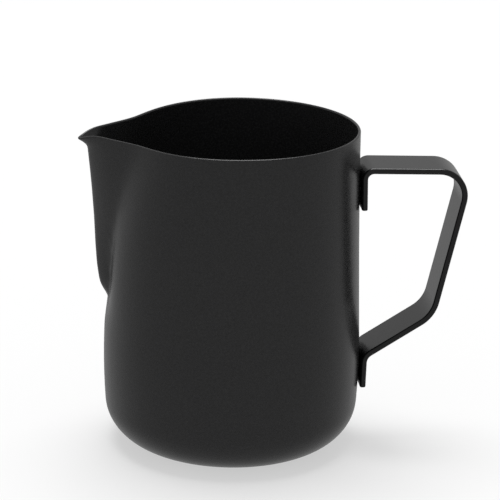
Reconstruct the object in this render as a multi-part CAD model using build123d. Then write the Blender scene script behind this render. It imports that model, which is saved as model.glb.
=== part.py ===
"""Milk frothing pitcher: a drawn steel jug with a pressed spout and a bent strap handle spot-welded to it.

Frame, in millimetres: the origin is the centre of the flat base, +Z is up, the handle points along +X
and the spout along -X. The XZ plane is the plane of symmetry.
"""

import math
import os

from build123d import *

os.makedirs("parts", exist_ok=True)

# ---------------------------------------------------------------- jug: body of revolution
HEIGHT = 114.1  # base to the highest point of the rim, on the handle side
SHEET = 1.0  # wall thickness of the drawn shell
RIM_RADIUS = 43.5  # outside, at the rim on the handle side
TAPER = 3.15  # how much wider the wall would be at the base, if it only tapered
TAPER_POWER = 1.45  # the wall leans in most low down and stands nearly upright at the rim
TUCK = 3.4  # how far the wall curves back in towards the base
TUCK_START = 40.0  # height below which it does
CORNER_WIDTH = 15.2  # base corner, a quarter ellipse taken off the wall
CORNER_HEIGHT = 15.0

# ---------------------------------------------------------------- jug: spout
SPOUT_START = 50.0  # height at which the spout's ridge leaves the wall
# Ridge line of the spout: height, distance from the jug's axis. It leaves the wall in a knuckle
# and then leans out towards the lip.
RIDGE = [
    (50.6, 41.8),
    (52.8, 43.4),
    (54.8, 44.7),
    (56.7, 45.8),
    (58.6, 46.6),
    (60.9, 47.1),
    (64.3, 47.6),
    (70.2, 48.1),
    (82.2, 48.7),
    (98.2, 49.9),
    (HEIGHT, 51.6),
]
RIDGE_BLEND = 0.4  # softness of the line where the ridge leaves the wall
SPREAD_LOW, SPREAD_TOP = 4.0, 25.0  # degrees from the ridge to the foot of the spout's flank
SPREAD_POWER = 1.4  # how the flanks widen with height
NOSE_LOW, NOSE_TOP = 0.30, 0.06  # rounding of the ridge, as a share of the spread
FOOT_LOW, FOOT_TOP = 0.09, 0.42  # rounding of the flank's foot, as a share of the spread
PINCH_START = 42.0  # a narrow pinch under the spout begins at this height
PINCH_RISE = 15.0  # and is fully deep this much higher
PINCH_DEPTH = 1.45
PINCH_ANGLE = 12.0
DRAW_DEPTH = 7.55  # wide drawing-in of the whole spout half at the rim, into which the pinch fades
DRAW_POWER = 3.0
DRAW_ANGLE_LOW, DRAW_ANGLE_TOP = 12.0, 66.0  # degrees over which the wall is drawn in
LIP_REACH = 2.9  # outward curl of the lip at its tip
LIP_DEPTH = 5.6  # height of wall that curls
LIP_ANGLE = 7.2  # degrees over which the lip curls
LIP_DROP = 2.5  # how far the tip drops below the rim
LIP_DROP_ANGLE = 5.0
RIM_DROP = 1.15  # how far the rim dips on the spout half
RIM_DROP_FULL, RIM_DROP_START = 15.0, 105.0  # degrees from the spout

# ---------------------------------------------------------------- handle strap
STRAP_WIDTH = 18.4
STRAP_THICKNESS = 2.1
STRAP_EDGE_RADIUS = 0.8  # rolled long edges
STRAP_END_RADIUS = 0.45  # rounded ends of the weld tabs
TAB_CLEARANCE = 0.05  # coating film between tab and wall
UPPER_TAB = (86.0, 100.3)  # heights of the upper tab's foot and of its corner with the arm
ARM_END = (82.3, 99.6)  # outer corner, before rounding
LEG_FOOT = (70.4, 47.1)  # lower corner, before rounding
LOWER_TAB = (20.5, 32.0)  # heights of the lower tab's foot and of its corner with the lower arm
BEND_RADII = [3.2, 9.1, 12.0, 4.4]  # centreline radii from the upper tab to the lower tab

# ---------------------------------------------------------------- spot welds
WELD_RADIUS = 1.8
WELD_IN_WALL = 0.5  # depth of the nugget in the wall
WELD_IN_TAB = 1.2  # depth of the nugget in the tab
UPPER_WELD_HEIGHTS = [88.8, 94.2]
LOWER_WELD_HEIGHTS = [22.9, 27.3]
MARK_RADIUS = 1.9  # electrode marks on the outside of the tabs
MARK_DEPTH = 0.12

# ---------------------------------------------------------------- sampling of the shell
HALF_RING = 23  # section points from the spout to the handle side
RING_EVENNESS = 0.15  # below 1 the points crowd towards the spout
CORNER_ROWS = 9
WALL_ROWS = 38
LIP_ROWS = 8
RIM_ROWS = 7
STEP = 1e-3  # for finite differences


def smooth_step(t):
    t = min(max(t, 0.0), 1.0)
    return t * t * (3 - 2 * t)


def ramp(value, softness):
    """Zero for negative values and the value itself for positive ones, rounded at zero."""
    return (value + math.hypot(value, softness)) / 2


def through(points, at):
    """Smooth curve through (position, value) points, with slopes taken from the neighbours."""
    last = len(points) - 1
    slopes = [(b[1] - a[1]) / (b[0] - a[0]) for a, b in zip(points, points[1:])]
    spans = [b[0] - a[0] for a, b in zip(points, points[1:])]
    k = max(i for i in range(last) if i == 0 or points[i][0] <= at)

    def tangent(i):
        if i == 0 or i == last:
            return slopes[min(i, last - 1)]
        return (slopes[i - 1] * spans[i] + slopes[i] * spans[i - 1]) / (spans[i - 1] + spans[i])

    t = min(max((at - points[k][0]) / spans[k], 0.0), 1.0)
    bend = 3 * t**2 - 2 * t**3
    start = (t**3 - 2 * t**2 + t) * spans[k] * tangent(k)
    end = (t**3 - t**2) * spans[k] * tangent(k + 1)
    return points[k][1] * (1 - bend) + points[k + 1][1] * bend + start + end


def body_radius(height):
    """Outside radius of the wall, spout aside."""
    tuck = TUCK * max(1 - height / TUCK_START, 0.0) ** 2
    return RIM_RADIUS + TAPER * max(1 - height / HEIGHT, 0.0) ** TAPER_POWER - tuck


def wall_point(angle, height):
    """Outside of the wall. The angle is in degrees from the spout, positive towards -Y."""
    away = abs(angle)
    rise = min(max((height - SPOUT_START) / (HEIGHT - SPOUT_START), 0.0), 1.0)

    # The spout half is drawn in, most of all right under and beside the spout.
    share = rise**DRAW_POWER
    draw = DRAW_DEPTH * share
    pinch = PINCH_DEPTH * smooth_step((height - PINCH_START) / PINCH_RISE) * (1 - share)
    draw_angle = DRAW_ANGLE_LOW + (DRAW_ANGLE_TOP - DRAW_ANGLE_LOW) * rise
    radius = body_radius(height) - draw * math.exp(-((away / draw_angle) ** 2))
    radius -= pinch * math.exp(-((away / PINCH_ANGLE) ** 2))

    # The spout: a ridge with straight flanks, rounded at the nose and at the foot of each flank.
    proud = ramp(through(RIDGE, height) - (body_radius(height) - draw - pinch), RIDGE_BLEND)
    proud *= smooth_step((height - SPOUT_START) / 3 + 1)
    nose = NOSE_LOW + (NOSE_TOP - NOSE_LOW) * rise
    foot = FOOT_LOW + (FOOT_TOP - FOOT_LOW) * rise**2
    across = away / (SPREAD_LOW + (SPREAD_TOP - SPREAD_LOW) * rise**SPREAD_POWER)
    flank = 1 - (math.hypot(across, nose) - nose)
    radius += proud * ramp(flank, foot) / ramp(1, foot)

    # The lip curls outwards and drops at its tip.
    lip = min(max(1 - (HEIGHT - height) / LIP_DEPTH, 0.0), 1.0)
    radius += LIP_REACH * lip**2 * math.exp(-((away / LIP_ANGLE) ** 2))
    drop = RIM_DROP * (1 - smooth_step((away - RIM_DROP_FULL) / (RIM_DROP_START - RIM_DROP_FULL)))
    drop = drop * smooth_step(rise) + LIP_DROP * lip * math.exp(-((away / LIP_DROP_ANGLE) ** 2))

    turn = math.radians(angle)
    return Vector(-radius * math.cos(turn), -radius * math.sin(turn), height - drop)


def corner_point(angle, tilt):
    """Outside of the base corner. A tilt of 0 is its foot on the base and 90 degrees its top, on the wall."""
    lean = math.radians(tilt)
    turn = math.radians(angle)
    height = CORNER_HEIGHT * (1 - math.cos(lean))
    radius = body_radius(height) - CORNER_WIDTH * (1 - math.sin(lean))
    return Vector(-radius * math.cos(turn), -radius * math.sin(turn), height)


def outward(surface, angle, along):
    """Outside point of a surface, its unit normal and its unit tangent up the wall."""
    here = surface(angle, along)
    sideways = surface(angle + STEP, along) - surface(angle - STEP, along)
    upwards = surface(angle, along) - surface(angle, along - STEP)
    return here, sideways.cross(upwards).normalized(), upwards.normalized()


def ring_angles():
    """Angles of a section's points, from the handle side round to the handle side."""
    half = []
    for i in range(HALF_RING + 1):
        share = i / HALF_RING
        half.append(180 * (RING_EVENNESS * share + (1 - RING_EVENNESS) * share**3))
    return half[:0:-1] + [-a for a in half[:-1]]


ANGLES = ring_angles()


def ring(points):
    """Closed section curve through one point for each angle."""
    parameters = [float(i) for i in range(len(points) + 1)]
    return Wire([Edge.make_spline(points, periodic=True, parameters=parameters)])


def side_rows():
    """(surface, position) of each section from the foot of the base corner up to the rim."""
    rows = [(corner_point, 90 * i / CORNER_ROWS) for i in range(CORNER_ROWS)]
    lip_foot = HEIGHT - LIP_DEPTH
    rim_foot = HEIGHT - SHEET / 2
    wall = lip_foot - CORNER_HEIGHT
    lip = rim_foot - lip_foot
    rows += [(wall_point, CORNER_HEIGHT + wall * i / WALL_ROWS) for i in range(WALL_ROWS)]
    rows += [(wall_point, lip_foot + lip * i / LIP_ROWS) for i in range(LIP_ROWS + 1)]
    return rows


def make_jug():
    outer, inner = [], []
    for surface, along in side_rows():
        frames = [outward(surface, angle, along) for angle in ANGLES]
        outer.append(ring([here for here, normal, up in frames]))
        inner.append(ring([here - normal * SHEET for here, normal, up in frames]))

    # The rim is rounded over: half a turn from the outer edge to the inner edge.
    rim = [outer[-1]]
    for i in range(1, RIM_ROWS):
        turn = math.pi * i / RIM_ROWS
        points = []
        for here, normal, up in frames:
            spoke = normal * (math.cos(turn) - 1) + up * math.sin(turn)
            points.append(here + spoke * (SHEET / 2))
        rim.append(ring(points))
    rim.append(inner[-1])

    faces = [Face(outer[0]), Face(inner[0])]
    for rows in (outer, inner, rim):
        faces += Shell.make_loft(rows).faces()
    return Solid(Shell(faces))


def tab_face(tab, height):
    """Distance from the jug's axis to the side of a tab that faces the wall. The tab is straight."""
    foot, corner = body_radius(tab[0]), body_radius(tab[1])
    bulge = max(body_radius(sum(tab) / 2) - (foot + corner) / 2, 0.0)
    share = (height - tab[0]) / (tab[1] - tab[0])
    return foot + (corner - foot) * share + bulge + TAB_CLEARANCE


def make_strap():
    """Bent flat bar. Its weld tabs lie along the wall's own slope."""
    middle = STRAP_THICKNESS / 2
    path = [(tab_face(UPPER_TAB, z) + middle, z) for z in UPPER_TAB]
    path += [ARM_END, LEG_FOOT]
    path += [(tab_face(LOWER_TAB, z) + middle, z) for z in reversed(LOWER_TAB)]
    with BuildPart() as strap:
        with BuildLine(Plane.XZ) as centreline:
            FilletPolyline(*path, radius=BEND_RADII)
        with BuildSketch(centreline.line ^ 0):
            RectangleRounded(STRAP_THICKNESS, STRAP_WIDTH, STRAP_EDGE_RADIUS)
        sweep()
        for end in (centreline.line @ 0, centreline.line @ 1):
            cap = strap.faces().sort_by_distance(end)[0]
            fillet(cap.edges(), STRAP_END_RADIUS)
    return strap.part


def weld(tab, height):
    """One nugget: a short cylinder across the gap between wall and tab, ending inside both."""
    start = body_radius(height) - WELD_IN_WALL
    length = tab_face(tab, height) + WELD_IN_TAB - start
    return Pos(start, 0, height) * Rot(0, 90, 0) * Cylinder(
        WELD_RADIUS, length, align=(Align.CENTER, Align.CENTER, Align.MIN)
    )


def electrode_mark(tab, height):
    """Shallow round dent left in the outside of a tab above a weld."""
    floor = tab_face(tab, height) + STRAP_THICKNESS - MARK_DEPTH
    return Pos(floor, 0, height) * Rot(0, 90, 0) * Cylinder(
        MARK_RADIUS, STRAP_THICKNESS, align=(Align.CENTER, Align.CENTER, Align.MIN)
    )


upper_welds = [weld(UPPER_TAB, height) for height in UPPER_WELD_HEIGHTS]
lower_welds = [weld(LOWER_TAB, height) for height in LOWER_WELD_HEIGHTS]
welds = upper_welds + lower_welds
marks = [electrode_mark(UPPER_TAB, height) for height in UPPER_WELD_HEIGHTS]
marks += [electrode_mark(LOWER_TAB, height) for height in LOWER_WELD_HEIGHTS]

nodes = {
    "jug_body": make_jug() - welds,
    "handle_strap": make_strap() - welds - marks,
    "upper_spot_welds": Compound(children=upper_welds),
    "lower_spot_welds": Compound(children=lower_welds),
}

for name, shape in nodes.items():
    export_step(shape, f"parts/{name}.step")
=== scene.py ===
"""Looks of the milk frothing pitcher: black coated jug and strap handle on a pale studio floor."""

import math

import bpy
from mathutils import Matrix, Vector


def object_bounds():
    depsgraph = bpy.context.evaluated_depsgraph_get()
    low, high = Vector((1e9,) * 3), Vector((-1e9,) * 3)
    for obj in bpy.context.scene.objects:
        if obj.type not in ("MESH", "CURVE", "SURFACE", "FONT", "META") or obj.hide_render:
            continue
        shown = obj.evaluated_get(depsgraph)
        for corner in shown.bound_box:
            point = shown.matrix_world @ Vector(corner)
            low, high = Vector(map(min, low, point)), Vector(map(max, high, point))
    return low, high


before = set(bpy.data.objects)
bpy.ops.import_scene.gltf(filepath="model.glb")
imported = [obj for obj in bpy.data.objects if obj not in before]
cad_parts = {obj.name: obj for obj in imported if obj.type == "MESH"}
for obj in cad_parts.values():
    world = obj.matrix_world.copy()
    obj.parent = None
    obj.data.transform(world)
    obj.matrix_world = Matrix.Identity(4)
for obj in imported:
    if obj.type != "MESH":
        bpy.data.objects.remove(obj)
cad_low, cad_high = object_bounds()

# ---------------------------------------------------------------- camera
# Lengths are in metres, angles in degrees, and the lens and its sensor in millimetres.
CAMERA_AIM = Vector((0.00599, 0.0, 0.06942))  # point on the optical axis, near the jug's axis
CAMERA_DISTANCE = 0.89089
CAMERA_AZIMUTH = 5.488
CAMERA_ELEVATION = 17.55
CAMERA_ROLL = 1.016
CAMERA_LENS = 182.498
CAMERA_SENSOR = 36
CLIP_START, CLIP_END = 0.05, 50


def make_camera():
    azimuth, elevation = math.radians(CAMERA_AZIMUTH), math.radians(CAMERA_ELEVATION)
    level = math.cos(elevation)
    forward = Vector((math.sin(azimuth) * level, math.cos(azimuth) * level, -math.sin(elevation)))
    right = forward.cross(Vector((0, 0, 1))).normalized()
    up = right.cross(forward)
    roll = Matrix.Rotation(math.radians(CAMERA_ROLL), 3, -forward)
    right, up = roll @ right, roll @ up
    camera = bpy.data.objects.new("camera", bpy.data.cameras.new("camera"))
    bpy.context.scene.collection.objects.link(camera)
    axes = Matrix((right, up, -forward)).transposed().to_4x4()
    camera.matrix_world = Matrix.Translation(CAMERA_AIM - forward * CAMERA_DISTANCE) @ axes
    camera.data.lens = CAMERA_LENS
    camera.data.sensor_width = CAMERA_SENSOR
    camera.data.clip_start = CLIP_START
    camera.data.clip_end = CLIP_END
    bpy.context.scene.camera = camera


# ---------------------------------------------------------------- light and floor
SURROUND = 0.44  # brightness of the studio behind and above the jug, as the coating mirrors it
SURROUND_FRONT = 0.36  # the same towards the front, where the studio is darker
FRONT_ENDS, BACK_STARTS = -0.1, 0.75  # the world direction's Y where the change begins and ends
SUN_STRENGTH = 2.35
SUN_SPREAD = 42.0  # a wide soft overhead panel
SUN_TILT = 14.0  # the panel hangs a little behind the jug
FLOOR_SIZE = 3.0  # half the floor's width
FLOOR_GAP = 0.0001  # the floor lies this far under the jug's base
FLOOR_WHITE = 0.42
FLOOR_GLOW = 0.54  # the floor is a light table, so shadows on it stay pale
WHITE = (1, 1, 1, 1)


def make_world():
    world = bpy.data.worlds.new("studio")
    world.use_nodes = True
    tree = world.node_tree
    place = tree.nodes.new("ShaderNodeTexCoord")
    axes = tree.nodes.new("ShaderNodeSeparateXYZ")
    tree.links.new(place.outputs["Generated"], axes.inputs["Vector"])
    front = node(
        tree, "ShaderNodeMapRange",
        From_Min=FRONT_ENDS, From_Max=BACK_STARTS, To_Min=SURROUND_FRONT, To_Max=SURROUND,
    )
    front.interpolation_type = "SMOOTHSTEP"
    tree.links.new(axes.outputs["Y"], front.inputs["Value"])
    background = tree.nodes["Background"]
    background.inputs["Color"].default_value = WHITE
    tree.links.new(front.outputs["Result"], background.inputs["Strength"])
    bpy.context.scene.world = world


def make_sun():
    sun = bpy.data.objects.new("overhead_panel", bpy.data.lights.new("overhead_panel", "SUN"))
    bpy.context.scene.collection.objects.link(sun)
    sun.data.energy = SUN_STRENGTH
    sun.data.angle = math.radians(SUN_SPREAD)
    sun.rotation_euler = (math.radians(-SUN_TILT), 0, 0)


def make_floor():
    """A pale glowing sheet that the coating doesn't mirror."""
    mesh = bpy.data.meshes.new("floor")
    corners = [(-1, -1), (1, -1), (1, 1), (-1, 1)]
    mesh.from_pydata([(x * FLOOR_SIZE, y * FLOOR_SIZE, 0) for x, y in corners], [], [(0, 1, 2, 3)])
    floor = bpy.data.objects.new("floor", mesh)
    bpy.context.scene.collection.objects.link(floor)
    floor.location.z = cad_low.z - FLOOR_GAP
    floor.visible_glossy = False
    material, _, shader = new_material("floor_paper")
    shader.inputs["Base Color"].default_value = (FLOOR_WHITE, FLOOR_WHITE, FLOOR_WHITE, 1)
    shader.inputs["Roughness"].default_value = 1.0
    shader.inputs["Specular IOR Level"].default_value = 0.0
    shader.inputs["Emission Color"].default_value = WHITE
    shader.inputs["Emission Strength"].default_value = FLOOR_GLOW
    mesh.materials.append(material)


# ---------------------------------------------------------------- materials
COATING_IOR = 1.5
SPECK_SCALE = 1500.0  # specks per metre
SPECK_DETAIL = 3.0
SPECK_ROUGHNESS = 0.6
SPECK_DARK, SPECK_LIGHT = 0.35, 0.7  # noise levels that take the coating's darkest and lightest colour
COLD_TINT = 1.03  # how much stronger the black's blue is than its red and green
BUMP_STRENGTH = 0.2
BUMP_HEIGHT = 0.0001
BODY_COLOUR = (0.010, 0.018)  # darkest and lightest
BODY_GLOSS = (0.22, 0.32)  # smoothest and roughest
# painted shade: the strap has the body's coating, painted darker to stand in for the shade on its
# edges
STRAP_SHADED_COLOUR = (0.002, 0.005)
STRAP_GLOSS = (0.16, 0.24)
INSIDE_PAINTED_LIGHT = 1.5  # painted light: how much lighter the coating is painted on the inside of the wall, standing in for the light inside the jug
INSIDE_BLEND = 0.008  # radius times inward slope at which the painted light is full

WELD_SCALE = 900.0
WELD_DETAIL = 4.0
WELD_BLUE = (0.24, 0.25, 0.30, 1)
WELD_STRAW = (0.52, 0.46, 0.36, 1)
WELD_ROUGHNESS = (0.4, 0.6)


def new_material(name):
    material = bpy.data.materials.new(name)
    material.use_nodes = True
    return material, material.node_tree, material.node_tree.nodes["Principled BSDF"]


def node(tree, kind, **inputs):
    made = tree.nodes.new(kind)
    for name, value in inputs.items():
        made.inputs[name.replace("_", " ")].default_value = value
    return made


def vector_math(tree, operation):
    made = tree.nodes.new("ShaderNodeVectorMath")
    made.operation = operation
    return made


def roughen(tree, noise, shader, roughness):
    rough = node(tree, "ShaderNodeMapRange", To_Min=roughness[0], To_Max=roughness[1])
    tree.links.new(noise.outputs["Fac"], rough.inputs["Value"])
    tree.links.new(rough.outputs["Result"], shader.inputs["Roughness"])


def coating(name, colour, gloss, inside_painted_light=1.0):
    """Baked matt black coating: near-black, softly glossy, with a fine speckle, and painted lighter on
    the inside of the wall as painted light.
    """
    material, tree, shader = new_material(name)
    shader.inputs["IOR"].default_value = COATING_IOR
    place = tree.nodes.new("ShaderNodeTexCoord")
    speck = node(
        tree, "ShaderNodeTexNoise",
        Scale=SPECK_SCALE, Detail=SPECK_DETAIL, Roughness=SPECK_ROUGHNESS,
    )
    tree.links.new(place.outputs["Object"], speck.inputs["Vector"])
    ramp = tree.nodes.new("ShaderNodeValToRGB")
    for stop, position, grey in zip(ramp.color_ramp.elements, (SPECK_DARK, SPECK_LIGHT), colour):
        stop.position = position
        stop.color = (grey, grey, grey * COLD_TINT, 1)
    tree.links.new(speck.outputs["Fac"], ramp.inputs["Fac"])

    # The inside of the wall faces the jug's axis. The coating is painted lighter there as painted
    # light for the jug's interior.
    outward = vector_math(tree, "MULTIPLY")
    outward.inputs[1].default_value = (1, 1, 0)
    tree.links.new(place.outputs["Object"], outward.inputs[0])
    facing = vector_math(tree, "DOT_PRODUCT")
    tree.links.new(outward.outputs["Vector"], facing.inputs[0])
    tree.links.new(place.outputs["Normal"], facing.inputs[1])
    inside = node(
        tree, "ShaderNodeMapRange",
        From_Min=-INSIDE_BLEND, From_Max=0.0, To_Min=inside_painted_light, To_Max=1.0,
    )
    tree.links.new(facing.outputs["Value"], inside.inputs["Value"])
    tint = vector_math(tree, "SCALE")
    tree.links.new(ramp.outputs["Color"], tint.inputs[0])
    tree.links.new(inside.outputs["Result"], tint.inputs["Scale"])
    tree.links.new(tint.outputs["Vector"], shader.inputs["Base Color"])

    roughen(tree, speck, shader, gloss)
    bump = node(tree, "ShaderNodeBump", Strength=BUMP_STRENGTH, Distance=BUMP_HEIGHT)
    tree.links.new(speck.outputs["Fac"], bump.inputs["Height"])
    tree.links.new(bump.outputs["Normal"], shader.inputs["Normal"])
    return material


def weld_steel():
    """Bare fused steel, with the straw and blue tint that the weld's heat leaves."""
    material, tree, shader = new_material("weld_steel")
    shader.inputs["Metallic"].default_value = 1.0
    place = tree.nodes.new("ShaderNodeTexCoord")
    noise = node(tree, "ShaderNodeTexNoise", Scale=WELD_SCALE, Detail=WELD_DETAIL)
    tree.links.new(place.outputs["Object"], noise.inputs["Vector"])
    ramp = tree.nodes.new("ShaderNodeValToRGB")
    ramp.color_ramp.elements[0].color = WELD_BLUE
    ramp.color_ramp.elements[1].color = WELD_STRAW
    tree.links.new(noise.outputs["Fac"], ramp.inputs["Fac"])
    tree.links.new(ramp.outputs["Color"], shader.inputs["Base Color"])
    roughen(tree, noise, shader, WELD_ROUGHNESS)
    return material


def paint(name, material):
    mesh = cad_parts[name].data
    mesh.materials.clear()
    mesh.materials.append(material)


# ---------------------------------------------------------------- the scene
make_camera()
make_world()
make_sun()
make_floor()
steel = weld_steel()
# the jug's coating is painted lighter on the inside of the wall: painted light
paint("jug_body", coating("black_coating", BODY_COLOUR, BODY_GLOSS, INSIDE_PAINTED_LIGHT))
# the strap's coating is a darker copy of the body's: painted shade
paint("handle_strap", coating("black_coating_strap_painted_shade", STRAP_SHADED_COLOUR, STRAP_GLOSS))
paint("upper_spot_welds", steel)
paint("lower_spot_welds", steel)
bpy.context.scene.view_settings.view_transform = "Standard"
